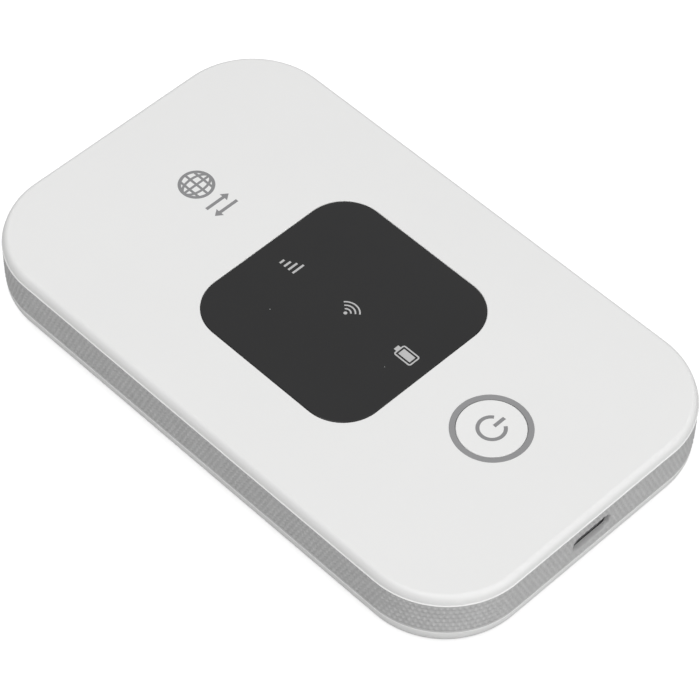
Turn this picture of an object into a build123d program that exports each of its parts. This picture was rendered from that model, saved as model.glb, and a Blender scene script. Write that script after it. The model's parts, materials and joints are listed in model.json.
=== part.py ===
from build123d import *
import os

# Mobile hotspot: a pocket router lying face up on its removable back cover.
# The origin is the centre of the resting face, +X runs along the length towards the charging
# port and +Z rises through the display window. All sizes are in millimetres.

# ---- Case ----
length = 97.5
width = 58.0
height = 11.8
corner_radius = 13.4
lid_edge_height = 1.7  # part of the side that belongs to the top shell
lid_edge_radius = 1.2
lid_wall = 1.2
band_height = 6.1  # textured grey band round the side
band_wall = 1.0
band_gap = 0.05  # band to chassis wall
chassis_wall = 1.2
tongue_wall = 0.8  # locating tongue under the top shell
tongue_depth = 0.9
tongue_gap = 0.1
seam_gap = 0.1  # back cover to band
cover_inset = 0.1  # back cover stands this far inside the band
cover_wall = 1.5
cover_floor = 1.0
cover_edge_limit = 3.75  # largest radius round the underside
cover_cavity_limit = 2.6  # largest radius round the inside of the cover
groove_drop = 1.3  # from the cover's rim down to the line that runs round it
groove_height = 0.2
groove_depth = 0.35

# ---- Chassis and bay ----
tab_room = 1.5  # between the cover's wall and the chassis, where the snap tabs rise
deck_gap = 0.5  # back cover to chassis deck
deck_wall = 1.0
nest_edge_limit = 2.2
shelf_wall = 1.2
bay_wall = 0.8
bay_plate = 0.8  # roof of the battery bay
antenna_zone = 12.55  # from the antenna end of the case to the bay
port_zone = 22.55  # from the port end of the case to the bay
side_zone = 7.8  # from the long sides of the case to the bay
battery_gap = 0.2
battery_corner = 1.2
battery_edge = 0.4
scoop_radius = 7.0  # finger scoop at the end of the bay
scoop_depth = 3.0
notch_width = 10.0  # prying notch in the cover's rim
notch_height = 0.8
tab_length = 6.0
tab_wall = 0.8
tab_rise = 0.9  # how far a tab stands above the cover's rim
tab_gap = 0.2
tab_spread = 30.0
end_tab_from_corner = 1.6

# ---- Board ----
board_room_above = 1.7
board_room_below = 0.9
board_thickness = 0.8
board_gap = 0.2
rib_length = 1.4
rib_depth = 1.6
rib_spread = 22.0
end_rib_spread = 11.0
screw_inset_x = 8.75
screw_inset_y = 9.0
post_radius = 2.7
boss_radius = 2.1
boss_gap = 0.3
screw_radius = 0.7
screw_clearance = 0.15
thread_gap = 0.02
screw_head_radius = 1.4
screw_head_height = 0.8
screw_head_gap = 0.2
screw_seat = 0.9
screw_reach = 2.9  # shank above the chassis post
drive_slot = 0.35
drive_depth = 0.4

# ---- Display window ----
window_size = 32.4
window_corner = 6.5
window_thickness = 0.75
window_gap = 0.06
window_bevel = 0.12
tape_thickness = 0.1
ledge_width = 1.4
seat_pad_drop = 0.25
seat_pad_margin = 1.5
icon_pitch = 11.5
icon_offset_x = 0.4
icon_offset_y = 0.5
icon_frame_length = 29.2
icon_frame_width = 7.0
icon_frame_gap = 0.2
icon_cell_length = 4.6
icon_cell_width = 4.2
diffuser_thickness = 0.65
led_length = 1.6
led_width = 0.8
led_height = 0.6

# ---- Power key ----
key_share = 0.4  # key centre, as a share of the way from the window's edge to the case end
key_offset_y = -0.3
bezel_radius = 5.88
bezel_width = 0.85
bezel_thickness = 0.6
key_gap = 0.08
key_hole_gap = 0.35
key_crown_radius = 0.15
key_flange_radius = 5.6
key_flange_thickness = 0.45
key_stop_gap = 0.1
key_nub_radius = 1.1
key_nub_height = 0.15
key_travel = 0.2
collar_gap = 0.3
collar_wall = 0.8
collar_drop = 1.2
switch_length = 4.4
switch_width = 3.4
stem_radius = 0.8
stem_gap = 0.1
stem_height = 0.3

# ---- Reset button ----
reset_x_from_bay = 8.3
reset_y = -13.0
reset_pin_radius = 0.75
reset_guide_gap = 0.1
reset_guide_wall = 0.95
reset_guide_height = 2.0
reset_recess = 0.4
reset_flange_radius = 1.5
reset_flange_thickness = 0.5
reset_flange_gap = 0.02
reset_travel = 0.2
reset_switch_height = 0.8

# ---- Charging port ----
port_offset_y = -0.5
port_width = 7.2
port_height = 2.5
port_corner = 1.0
receptacle_width = 7.5
receptacle_top_width = 5.9
receptacle_height = 2.45
receptacle_length = 5.2
receptacle_wall = 0.3
receptacle_gap = 0.1
receptacle_clearance = 0.35
receptacle_floor_gap = 0.35
receptacle_back = 1.2
blade_width = 3.9
blade_thickness = 0.6
blade_length = 3.2
pin_count = 5
pin_pitch = 0.65
pin_width = 0.35
pin_thickness = 0.08
foot_thickness = 0.4
foot_length = 1.6

# ---- Electronics ----
shield_length = 24.0
shield_wall = 0.2
shield_height = 1.3
shield_margin = 1.6
shield_gap = 1.2
wifi_shield_length = 18.0
chip_size = 10.0
chip_height = 0.9
small_chip_size = 5.0
power_chip_size = 5.5
inductor_size = 4.0
inductor_height = 1.4
passive_length = 1.0
passive_width = 0.5
passive_height = 0.5
passive_pitch = 2.2
crystal_length = 3.2
crystal_width = 2.5
crystal_height = 0.7
sim_length = 14.6
sim_width = 14.0
sim_base_height = 0.5
sim_cover_height = 0.9
sim_cover_wall = 0.2
sim_run_in = 9.0  # open space in the bay roof where the card is slid in
connector_length = 3.2
connector_width = 10.0
connector_height = 5.0
connector_gap = 0.2
connector_y = 12.0
contact_count = 3
contact_pitch = 3.0
contact_width = 0.9
contact_thickness = 0.3
contact_gap = 0.05
terminal_width = 1.8
terminal_height = 2.4
terminal_thickness = 0.2
antenna_foil = 0.15
antenna_boss_gap = 2.4
antenna_board_lap = 3.0
antenna_end_gap = 3.8
antenna_spring_height = 0.6
antenna_spring_length = 1.4
antenna_spring_width = 0.9
antenna_spring_spread = 8.0
wifi_antenna_length = 12.0
wifi_antenna_width = 3.0
wifi_antenna_end_gap = 4.3

# ---- Levels above the resting face ----
band_top = height - lid_edge_height
band_bottom = band_top - band_height
cover_top = band_bottom - seam_gap
ceiling = height - lid_wall
board_top = ceiling - board_room_above
board_bottom = board_top - board_thickness
bay_plate_top = board_bottom - board_room_below
bay_ceiling = bay_plate_top - bay_plate
deck_bottom = cover_floor + deck_gap
deck_top = deck_bottom + deck_wall
shelf_top = band_bottom + shelf_wall
chassis_top = band_top - seam_gap
battery_bottom = (cover_floor + deck_bottom) / 2
battery_top = bay_ceiling - battery_gap
window_bottom = height - window_thickness
window_seat = window_bottom - tape_thickness
seat_pad_bottom = ceiling - seat_pad_drop
bezel_seat = height - bezel_thickness
key_flange_top = ceiling - key_stop_gap
key_flange_bottom = key_flange_top - key_flange_thickness
key_foot = key_flange_bottom - key_nub_height
switch_top = key_foot - stem_height
port_z = board_bottom - receptacle_gap - receptacle_height / 2
contact_z = (battery_bottom + battery_top) / 2
reset_switch_bottom = board_bottom - reset_switch_height
reset_pin_top = reset_switch_bottom - stem_height
reset_guide_top = deck_top + reset_guide_height
screw_seat_z = bay_plate_top - screw_seat

# ---- Insets from the case outline ----
chassis_inset = band_wall + band_gap
bore_inset = chassis_inset + chassis_wall
tongue_inset = bore_inset + tongue_gap
lid_cavity_inset = tongue_inset + tongue_wall
nest_inset = cover_inset + cover_wall + tab_room
cavity_inset = nest_inset + chassis_wall
board_inset = bore_inset + board_gap

# ---- Places in plan ----
bay_start = -length / 2 + antenna_zone
bay_end = length / 2 - port_zone
bay_length = bay_end - bay_start
bay_width = width - 2 * side_zone
bay_middle = (bay_start + bay_end) / 2
battery_length = bay_length - 2 * battery_gap
battery_width = bay_width - 2 * battery_gap
battery_end = bay_end - battery_gap
board_start = bay_start
board_end = length / 2 - board_inset
board_side = width / 2 - board_inset
screw_x = length / 2 - screw_inset_x
screw_y = width / 2 - screw_inset_y
antenna_width = 2 * (screw_y - boss_radius - antenna_boss_gap)
end_tab_spread = width / 2 - corner_radius - end_tab_from_corner
key_x = window_size / 2 + key_share * (length / 2 - window_size / 2)
reset_x = bay_end + reset_x_from_bay
cover_edge_radius = min(cover_edge_limit, cover_top - notch_height / 2)
cover_cavity_radius = min(cover_cavity_limit, cover_top - cover_floor - notch_height / 2)
nest_edge_radius = min(nest_edge_limit, band_bottom - deck_bottom - seam_gap)
icon_frame_side = icon_offset_y + icon_frame_width / 2
icon_frame_low_side = icon_offset_y - icon_frame_width / 2
modem_shield_width = board_side - shield_margin - icon_frame_side - shield_gap
modem_shield_y = icon_frame_side + shield_gap + modem_shield_width / 2
wifi_shield_width = board_side - shield_margin + icon_frame_low_side - shield_gap
wifi_shield_y = icon_frame_low_side - shield_gap - wifi_shield_width / 2
shield_start = board_start + antenna_board_lap + 2 * shield_margin
modem_shield_x = shield_start + shield_length / 2
wifi_shield_x = shield_start + wifi_shield_length / 2
receptacle_mouth = length / 2 - band_wall - receptacle_gap
receptacle_rear = receptacle_mouth - receptacle_length
contact_start = bay_end + bay_wall + connector_gap
antenna_start = -length / 2 + antenna_end_gap
antenna_end = board_start + antenna_board_lap
wifi_antenna_x = length / 2 - wifi_antenna_end_gap - wifi_antenna_width / 2
wifi_antenna_y = -(screw_y - boss_radius - shield_margin - wifi_antenna_length / 2)
component_x = (window_size / 2 + board_end) / 2
component_y = board_side - shield_margin - 2 * power_chip_size / 2

screw_places = [(sx * screw_x, sy * screw_y) for sx in (-1, 1) for sy in (-1, 1)]
icon_places = [(icon_offset_x + k * icon_pitch, icon_offset_y) for k in (-1, 0, 1)]
side_tab_places = [(x, sy) for x in (-tab_spread, 0, tab_spread) for sy in (-1, 1)]
end_tab_places = [(y, sx) for y in (-end_tab_spread, end_tab_spread) for sx in (-1, 1)]
side_rib_places = [(k * rib_spread - rib_spread / 2, sy) for k in (-1, 0, 1, 2) for sy in (-1, 1)]
contact_places = [connector_y + (k - (contact_count - 1) / 2) * contact_pitch for k in range(contact_count)]


def case_outline(inset, mode=Mode.ADD):
    """Plan outline of the case, drawn in the open sketch, this far inside the outer surface."""
    return RectangleRounded(length - 2 * inset, width - 2 * inset, corner_radius - inset, mode=mode)


def block(size, centre, bottom, mode=Mode.ADD):
    """Upright block in the open part: (x, y, z) size, (x, y) centre and the level of its foot."""
    with BuildSketch(Plane.XY.offset(bottom)) as foot:
        with Locations(centre):
            Rectangle(size[0], size[1])
    extrude(foot.sketch, amount=size[2], mode=mode)


def rod(radius, centre, bottom, top, mode=Mode.ADD):
    """Upright round rod in the open part, or a round hole with mode=Mode.SUBTRACT."""
    with BuildSketch(Plane.XY.offset(bottom)) as foot:
        with Locations(centre):
            Circle(radius)
    extrude(foot.sketch, amount=top - bottom, mode=mode)


def finish(part, label):
    """Names a finished piece and writes its STEP file."""
    part.label = label
    export_step(part, os.path.join("parts", label + ".step"))


os.makedirs("parts", exist_ok=True)

# ---- Top shell: flat face, rounded edge, window seat, key seat, tongue and screw bosses ----
with BuildPart() as top_shell:
    with BuildSketch(Plane.XY.offset(band_top)):
        case_outline(0)
    extrude(amount=lid_edge_height)
    fillet(top_shell.edges().group_by(Axis.Z)[-1], min(lid_edge_radius, lid_edge_height - seam_gap))
    with BuildSketch(Plane.XY.offset(band_top)):
        case_outline(lid_cavity_inset)
    extrude(amount=ceiling - band_top, mode=Mode.SUBTRACT)
    with BuildSketch(Plane.XY.offset(band_top - tongue_depth)):
        case_outline(tongue_inset)
        case_outline(lid_cavity_inset, mode=Mode.SUBTRACT)
    extrude(amount=tongue_depth)
    with BuildSketch(Plane.XY.offset(seat_pad_bottom)):
        pad_size = window_size + 2 * seat_pad_margin
        RectangleRounded(pad_size, pad_size, window_corner + seat_pad_margin)
    extrude(amount=seat_pad_drop)
    with BuildSketch(Plane.XY.offset(window_seat)):
        pocket_size = window_size + 2 * window_gap
        RectangleRounded(pocket_size, pocket_size, window_corner + window_gap)
    extrude(amount=height - window_seat, mode=Mode.SUBTRACT)
    with BuildSketch(Plane.XY.offset(seat_pad_bottom)):
        light_size = window_size - 2 * ledge_width
        RectangleRounded(light_size, light_size, window_corner - ledge_width)
    extrude(amount=window_seat - seat_pad_bottom, mode=Mode.SUBTRACT)
    collar_bore = key_flange_radius + collar_gap
    key_place = (key_x, key_offset_y)
    rod(collar_bore + collar_wall, key_place, ceiling - collar_drop, ceiling)
    rod(collar_bore, key_place, ceiling - collar_drop, ceiling, Mode.SUBTRACT)
    rod(bezel_radius, key_place, bezel_seat, height, Mode.SUBTRACT)
    rod(bezel_radius - bezel_width + key_hole_gap, key_place, ceiling, bezel_seat, Mode.SUBTRACT)
    with BuildSketch(Plane.XY.offset(bay_plate_top)):
        with Locations(*screw_places):
            Circle(boss_radius)
    extrude(amount=ceiling - bay_plate_top)
    with BuildSketch(Plane.XY.offset(bay_plate_top)):
        with Locations(*screw_places):
            Circle(screw_radius + thread_gap)
    extrude(amount=screw_reach + screw_clearance, mode=Mode.SUBTRACT)
finish(top_shell.part, "top_shell")

# ---- Display window, its tape and what lights it ----
with BuildPart() as display_window:
    with BuildSketch(Plane.XY.offset(window_bottom)):
        RectangleRounded(window_size, window_size, window_corner)
    extrude(amount=window_thickness)
    chamfer(display_window.edges().group_by(Axis.Z)[-1], window_bevel)
finish(display_window.part, "display_window")

with BuildPart() as window_tape:
    with BuildSketch(Plane.XY.offset(window_seat)):
        RectangleRounded(window_size, window_size, window_corner)
        RectangleRounded(light_size, light_size, window_corner - ledge_width, mode=Mode.SUBTRACT)
    extrude(amount=tape_thickness)
finish(window_tape.part, "window_tape")

icon_frame_top = window_bottom - icon_frame_gap
with BuildPart() as icon_frame:
    frame_size = (icon_frame_length, icon_frame_width, icon_frame_top - board_top)
    block(frame_size, (0, icon_offset_y), board_top)
    with BuildSketch(Plane.XY.offset(board_top)):
        with Locations(*icon_places):
            Rectangle(icon_cell_length, icon_cell_width)
    extrude(amount=icon_frame_top - board_top, mode=Mode.SUBTRACT)
finish(icon_frame.part, "icon_frame")

with BuildPart() as icon_diffusers:
    with BuildSketch(Plane.XY.offset(icon_frame_top - diffuser_thickness)):
        with Locations(*icon_places):
            Rectangle(icon_cell_length, icon_cell_width)
    extrude(amount=diffuser_thickness)
finish(icon_diffusers.part, "icon_diffusers")

with BuildPart() as icon_leds:
    with BuildSketch(Plane.XY.offset(board_top)):
        with Locations(*icon_places):
            Rectangle(led_length, led_width)
    extrude(amount=led_height)
finish(icon_leds.part, "icon_leds")

# ---- Power key: grey bezel fixed in the shell, cap that travels, switch under it ----
with BuildPart() as key_bezel:
    rod(bezel_radius, key_place, bezel_seat, height)
    rod(bezel_radius - bezel_width, key_place, bezel_seat, height, Mode.SUBTRACT)
finish(key_bezel.part, "key_bezel")

with BuildPart() as power_key:
    rod(bezel_radius - bezel_width - key_gap, key_place, key_flange_top, height)
    fillet(power_key.edges().group_by(Axis.Z)[-1], key_crown_radius)
    rod(key_flange_radius, key_place, key_flange_bottom, key_flange_top)
    rod(key_nub_radius, key_place, key_foot, key_flange_bottom)
finish(power_key.part, "power_key")

with BuildPart() as power_switch_body:
    block((switch_length, switch_width, switch_top - board_top), key_place, board_top)
    well_floor = switch_top - stem_height - key_travel - stem_gap
    rod(stem_radius + stem_gap, key_place, well_floor, switch_top, Mode.SUBTRACT)
finish(power_switch_body.part, "power_switch_body")

with BuildPart() as power_switch_stem:
    rod(stem_radius, key_place, switch_top - stem_height, key_foot)
finish(power_switch_stem.part, "power_switch_stem")

# ---- Textured band, with the charging port's mouth ----
port_plane = Plane.YZ.offset(length / 2)
with BuildPart() as side_band:
    with BuildSketch(Plane.XY.offset(band_bottom)):
        case_outline(0)
        case_outline(band_wall, mode=Mode.SUBTRACT)
    extrude(amount=band_height)
    with BuildSketch(port_plane):
        with Locations((port_offset_y, port_z)):
            RectangleRounded(port_width, port_height, port_corner)
    extrude(amount=-2 * band_wall, mode=Mode.SUBTRACT)
finish(side_band.part, "side_band")

# ---- Rear chassis: side wall, deck, battery bay, screw posts and board ribs ----
with BuildPart() as rear_chassis:
    with BuildSketch(Plane.XY.offset(deck_bottom)):
        case_outline(nest_inset)
    extrude(amount=band_bottom - deck_bottom)
    fillet(rear_chassis.edges().group_by(Axis.Z)[0], nest_edge_radius)
    with BuildSketch(Plane.XY.offset(band_bottom)):
        case_outline(chassis_inset)
    extrude(amount=chassis_top - band_bottom)
    with BuildSketch(Plane.XY.offset(deck_top)):
        case_outline(cavity_inset)
    extrude(amount=shelf_top - deck_top, mode=Mode.SUBTRACT)
    with BuildSketch(Plane.XY.offset(shelf_top)):
        case_outline(bore_inset)
    extrude(amount=chassis_top - shelf_top, mode=Mode.SUBTRACT)

    # battery bay, open downwards
    bay_shell = (bay_length + 2 * bay_wall, bay_width + 2 * bay_wall, bay_plate_top - deck_bottom)
    block(bay_shell, (bay_middle, 0), deck_bottom)
    block((bay_length, bay_width, bay_ceiling - deck_bottom), (bay_middle, 0), deck_bottom, Mode.SUBTRACT)
    rod(scoop_radius, (bay_start, 0), deck_bottom, deck_bottom + scoop_depth, Mode.SUBTRACT)

    # screw posts, each with a well for the head and a hole for the shank
    for place in screw_places:
        rod(post_radius, place, deck_bottom, bay_plate_top)
        rod(screw_head_radius + screw_head_gap, place, deck_bottom, screw_seat_z, Mode.SUBTRACT)
        rod(screw_radius + screw_clearance, place, screw_seat_z, bay_plate_top, Mode.SUBTRACT)

    # ribs that carry the edge of the board
    rib_height = board_bottom - shelf_top
    for x, side in side_rib_places:
        rib_y = side * (width / 2 - bore_inset - rib_depth / 2)
        block((rib_length, rib_depth, rib_height), (x, rib_y), shelf_top)
    for y in (-end_rib_spread, end_rib_spread):
        rib_x = length / 2 - bore_inset - rib_depth / 2
        block((rib_depth, rib_length, rib_height), (rib_x, y), shelf_top)

    # slots in the shelf for the cover's snap tabs
    slot_depth = tab_wall + 2 * tab_gap
    slot_inset = cover_inset + cover_wall + tab_wall / 2
    slot_length = tab_length + 2 * tab_gap
    for x, side in side_tab_places:
        slot_place = (x, side * (width / 2 - slot_inset))
        block((slot_length, slot_depth, shelf_wall), slot_place, band_bottom, Mode.SUBTRACT)
    for y, side in end_tab_places:
        slot_place = (side * (length / 2 - slot_inset), y)
        block((slot_depth, slot_length, shelf_wall), slot_place, band_bottom, Mode.SUBTRACT)

    # guide for the reset pin
    reset_bore = reset_pin_radius + reset_guide_gap
    reset_place = (reset_x, reset_y)
    rod(reset_bore + reset_guide_wall, reset_place, deck_top, reset_guide_top)
    rod(reset_bore, reset_place, deck_bottom, reset_guide_top, Mode.SUBTRACT)

    # openings for the charging port, the battery contacts and the SIM card
    port_cut_foot = port_z - receptacle_height / 2 - receptacle_floor_gap
    port_cut_length = cavity_inset - chassis_inset + 2 * receptacle_gap
    port_cut_width = receptacle_width + 2 * receptacle_clearance
    port_cut = (port_cut_length, port_cut_width, board_bottom - port_cut_foot)
    port_cut_x = length / 2 - chassis_inset - port_cut_length / 2 + receptacle_gap
    block(port_cut, (port_cut_x, port_offset_y), port_cut_foot, Mode.SUBTRACT)
    contact_window = (2 * bay_wall, connector_width, terminal_height + 2 * tab_gap)
    contact_foot = contact_z - contact_window[2] / 2
    block(contact_window, (bay_end + bay_wall / 2, connector_y), contact_foot, Mode.SUBTRACT)
    sim_window = (sim_length + sim_run_in, sim_width + 2 * board_gap, bay_plate)
    sim_x = bay_middle + sim_run_in / 2
    block(sim_window, (bay_middle, 0), bay_ceiling, Mode.SUBTRACT)
finish(rear_chassis.part, "rear_chassis")

with BuildPart() as chassis_screws:
    for place in screw_places:
        rod(screw_head_radius, place, screw_seat_z - screw_head_height, screw_seat_z)
        rod(screw_radius, place, screw_seat_z, bay_plate_top + screw_reach)
        drive_length = 1.2 * screw_head_radius
        drive_foot = screw_seat_z - screw_head_height
        block((drive_length, drive_slot, drive_depth), place, drive_foot, Mode.SUBTRACT)
        block((drive_slot, drive_length, drive_depth), place, drive_foot, Mode.SUBTRACT)
finish(chassis_screws.part, "chassis_screws")

# ---- Back cover: shallow dish with snap tabs and a prying notch ----
with BuildPart() as cover_cavity:
    with BuildSketch(Plane.XY.offset(cover_floor)):
        case_outline(cover_inset + cover_wall)
    extrude(amount=cover_top - cover_floor)
    fillet(cover_cavity.edges().group_by(Axis.Z)[0], cover_cavity_radius)

with BuildPart() as back_cover:
    with BuildSketch():
        case_outline(cover_inset)
    extrude(amount=cover_top)
    fillet(back_cover.edges().group_by(Axis.Z)[0], cover_edge_radius)
    add(cover_cavity.part, mode=Mode.SUBTRACT)
    with BuildSketch(Plane.XY.offset(cover_top - groove_drop - groove_height)):
        case_outline(0)
        case_outline(cover_inset + groove_depth, mode=Mode.SUBTRACT)
    extrude(amount=groove_height, mode=Mode.SUBTRACT)
    # tabs are a touch deeper than their clear thickness, so that they grow out of the wall
    tab_root = 0.3
    tab_foot = cover_top - notch_height - tab_rise
    tab_depth = tab_wall + tab_root
    tab_inset = cover_inset + cover_wall + tab_wall / 2 - tab_root / 2
    tab_height = cover_top + tab_rise - tab_foot
    for x, side in side_tab_places:
        tab_place = (x, side * (width / 2 - tab_inset))
        block((tab_length, tab_depth, cover_top - tab_foot), tab_place, tab_foot)
        tab_place = (x, side * (width / 2 - slot_inset))
        block((tab_length, tab_wall, tab_height), tab_place, tab_foot)
    for y, side in end_tab_places:
        tab_place = (side * (length / 2 - tab_inset), y)
        block((tab_depth, tab_length, cover_top - tab_foot), tab_place, tab_foot)
        tab_place = (side * (length / 2 - slot_inset), y)
        block((tab_wall, tab_length, tab_height), tab_place, tab_foot)
    notch_place = (-length / 2 + cover_inset + cover_wall / 2, 0)
    notch_size = (2 * cover_wall, notch_width, notch_height)
    block(notch_size, notch_place, cover_top - notch_height, Mode.SUBTRACT)
finish(back_cover.part, "back_cover")

# ---- Battery pack, with three terminals let into its end ----
with BuildPart() as battery_terminals:
    for y in contact_places:
        terminal_size = (terminal_thickness, terminal_width, terminal_height)
        terminal_place = (battery_end - terminal_thickness / 2, y)
        block(terminal_size, terminal_place, contact_z - terminal_height / 2)
finish(battery_terminals.part, "battery_terminals")

with BuildPart() as battery_pack:
    with BuildSketch(Plane.XY.offset(battery_bottom)):
        with Locations((bay_middle, 0)):
            RectangleRounded(battery_length, battery_width, battery_corner)
    extrude(amount=battery_top - battery_bottom)
    fillet(battery_pack.edges().group_by(Axis.Z)[0] + battery_pack.edges().group_by(Axis.Z)[-1], battery_edge)
    add(battery_terminals.part, mode=Mode.SUBTRACT)
finish(battery_pack.part, "battery_pack")

# ---- Main board and what is soldered on its upper side ----
with BuildPart() as main_board:
    with BuildSketch(Plane.XY.offset(board_bottom)):
        case_outline(board_inset)
        with Locations(((board_start - length) / 2, 0)):
            Rectangle(board_start + length, width, mode=Mode.SUBTRACT)
        with Locations(*[place for place in screw_places if place[0] > 0]):
            Circle(boss_radius + boss_gap, mode=Mode.SUBTRACT)
    extrude(amount=board_thickness)
finish(main_board.part, "main_board")

with BuildPart() as modem_shield:
    shield_place = (modem_shield_x, modem_shield_y)
    block((shield_length, modem_shield_width, shield_height), shield_place, board_top)
    inner_size = (shield_length - 2 * shield_wall, modem_shield_width - 2 * shield_wall)
    block((*inner_size, shield_height - shield_wall), shield_place, board_top, Mode.SUBTRACT)
finish(modem_shield.part, "modem_shield")

with BuildPart() as wifi_shield:
    shield_place = (wifi_shield_x, wifi_shield_y)
    block((wifi_shield_length, wifi_shield_width, shield_height), shield_place, board_top)
    inner_size = (wifi_shield_length - 2 * shield_wall, wifi_shield_width - 2 * shield_wall)
    block((*inner_size, shield_height - shield_wall), shield_place, board_top, Mode.SUBTRACT)
finish(wifi_shield.part, "wifi_shield")

with BuildPart() as modem_chip:
    modem_chip_x = shield_start + shield_gap + chip_size / 2
    block((chip_size, chip_size, chip_height), (modem_chip_x, modem_shield_y), board_top)
finish(modem_chip.part, "modem_chip")

with BuildPart() as memory_chip:
    memory_x = shield_start + shield_length - shield_gap - small_chip_size / 2
    block((small_chip_size, small_chip_size, chip_height), (memory_x, modem_shield_y), board_top)
finish(memory_chip.part, "memory_chip")

with BuildPart() as wifi_chip:
    block((small_chip_size, small_chip_size, chip_height), (wifi_shield_x, wifi_shield_y), board_top)
finish(wifi_chip.part, "wifi_chip")

with BuildPart() as power_chip:
    block((power_chip_size, power_chip_size, chip_height), (component_x, -component_y), board_top)
finish(power_chip.part, "power_chip")

with BuildPart() as power_inductor:
    inductor_x = component_x - power_chip_size / 2 - shield_gap - inductor_size / 2
    block((inductor_size, inductor_size, inductor_height), (inductor_x, -component_y), board_top)
finish(power_inductor.part, "power_inductor")

with BuildPart() as board_passives:
    with BuildSketch(Plane.XY.offset(board_top)):
        with Locations((component_x, component_y)):
            with GridLocations(passive_pitch, passive_pitch, 5, 3):
                Rectangle(passive_length, passive_width)
    extrude(amount=passive_height)
finish(board_passives.part, "board_passives")

with BuildPart() as crystal:
    crystal_x = component_x - 3 * passive_pitch - crystal_length / 2
    block((crystal_length, crystal_width, crystal_height), (crystal_x, component_y), board_top)
finish(crystal.part, "crystal")

# ---- Charging receptacle, hung under the edge of the board ----
usb_plane = Plane.YZ.offset(receptacle_rear)


def receptacle_profile(inset, mode=Mode.ADD):
    """Mouth of the receptacle, wide side down, drawn in the open sketch this far inside its shell."""
    half_wide = receptacle_width / 2 - inset
    half_top = receptacle_top_width / 2 - inset / 2
    foot = port_z - receptacle_height / 2 + inset
    head = port_z + receptacle_height / 2 - inset
    shoulder = port_z
    points = [
        (port_offset_y - half_wide, foot),
        (port_offset_y + half_wide, foot),
        (port_offset_y + half_wide, shoulder),
        (port_offset_y + half_top, head),
        (port_offset_y - half_top, head),
        (port_offset_y - half_wide, shoulder),
    ]
    return Polygon(*points, align=None, mode=mode)


with BuildPart() as usb_receptacle:
    with BuildSketch(usb_plane):
        receptacle_profile(0)
    extrude(amount=receptacle_length)
    with BuildSketch(usb_plane):
        receptacle_profile(receptacle_wall)
    extrude(amount=receptacle_length, mode=Mode.SUBTRACT)
    foot_z = port_z
    for side in (-1, 1):
        foot_y = port_offset_y + side * (receptacle_width / 2 - foot_thickness / 2)
        foot_x = receptacle_rear + foot_length
        block((foot_length, foot_thickness, board_bottom - foot_z), (foot_x, foot_y), foot_z)
finish(usb_receptacle.part, "usb_receptacle")

with BuildPart() as usb_blade:
    with BuildSketch(usb_plane):
        receptacle_profile(receptacle_wall)
    extrude(amount=receptacle_back)
    blade_foot = port_z - blade_thickness / 4
    blade_size = (blade_length, blade_width, blade_thickness)
    block(blade_size, (receptacle_rear + receptacle_back + blade_length / 2, port_offset_y), blade_foot)
finish(usb_blade.part, "usb_blade")

with BuildPart() as usb_contacts:
    with BuildSketch(Plane.XY.offset(blade_foot - pin_thickness)):
        with Locations((receptacle_rear + receptacle_back + blade_length / 2, port_offset_y)):
            with GridLocations(blade_length, pin_pitch, 1, pin_count):
                Rectangle(blade_length - 2 * receptacle_gap, pin_width)
    extrude(amount=pin_thickness)
finish(usb_contacts.part, "usb_contacts")

# ---- SIM socket under the board, reached through the roof of the battery bay ----
with BuildPart() as sim_base:
    block((sim_length, sim_width, sim_base_height), (sim_x, 0), board_bottom - sim_base_height)
finish(sim_base.part, "sim_base")

with BuildPart() as sim_cover:
    sim_cover_foot = board_bottom - sim_base_height - sim_cover_height
    block((sim_length, sim_width, sim_cover_height), (sim_x, 0), sim_cover_foot)
    card_gap = (sim_length, sim_width - 2 * sim_cover_wall, sim_cover_height - sim_cover_wall)
    block(card_gap, (sim_x - sim_cover_wall, 0), sim_cover_foot + sim_cover_wall, Mode.SUBTRACT)
finish(sim_cover.part, "sim_cover")

# ---- Battery connector: a block under the board and its three spring contacts ----
with BuildPart() as battery_connector:
    connector_foot = board_bottom - connector_height
    connector_size = (connector_length, connector_width, connector_height)
    block(connector_size, (contact_start + connector_length / 2, connector_y), connector_foot)
finish(battery_connector.part, "battery_connector")

with BuildPart() as battery_contacts:
    contact_reach = contact_start - battery_end - contact_gap
    for y in contact_places:
        contact_size = (contact_reach, contact_width, contact_thickness)
        contact_place = (contact_start - contact_reach / 2, y)
        block(contact_size, contact_place, contact_z - contact_thickness / 2)
finish(battery_contacts.part, "battery_contacts")

# ---- Reset button: switch under the board, pin guided in the deck ----
with BuildPart() as reset_switch_body:
    block((switch_length, switch_width, reset_switch_height), reset_place, reset_switch_bottom)
    well_top = reset_switch_bottom + stem_height + reset_travel + stem_gap
    rod(stem_radius + stem_gap, reset_place, reset_switch_bottom, well_top, Mode.SUBTRACT)
finish(reset_switch_body.part, "reset_switch_body")

with BuildPart() as reset_switch_stem:
    rod(stem_radius, reset_place, reset_pin_top, reset_switch_bottom + stem_height)
finish(reset_switch_stem.part, "reset_switch_stem")

with BuildPart() as reset_pin:
    rod(reset_pin_radius, reset_place, deck_bottom + reset_recess, reset_pin_top)
    flange_foot = reset_guide_top + reset_flange_gap
    rod(reset_flange_radius, reset_place, flange_foot, flange_foot + reset_flange_thickness)
finish(reset_pin.part, "reset_pin")

# ---- Antennas under the lid and the springs that feed them ----
with BuildPart() as antenna_carrier:
    carrier_foot = board_top + antenna_spring_height + antenna_foil
    carrier_x = (antenna_start + antenna_end) / 2
    carrier_length = antenna_end - antenna_start
    block((carrier_length, antenna_width, ceiling - carrier_foot), (carrier_x, 0), carrier_foot)
finish(antenna_carrier.part, "antenna_carrier")

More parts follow.
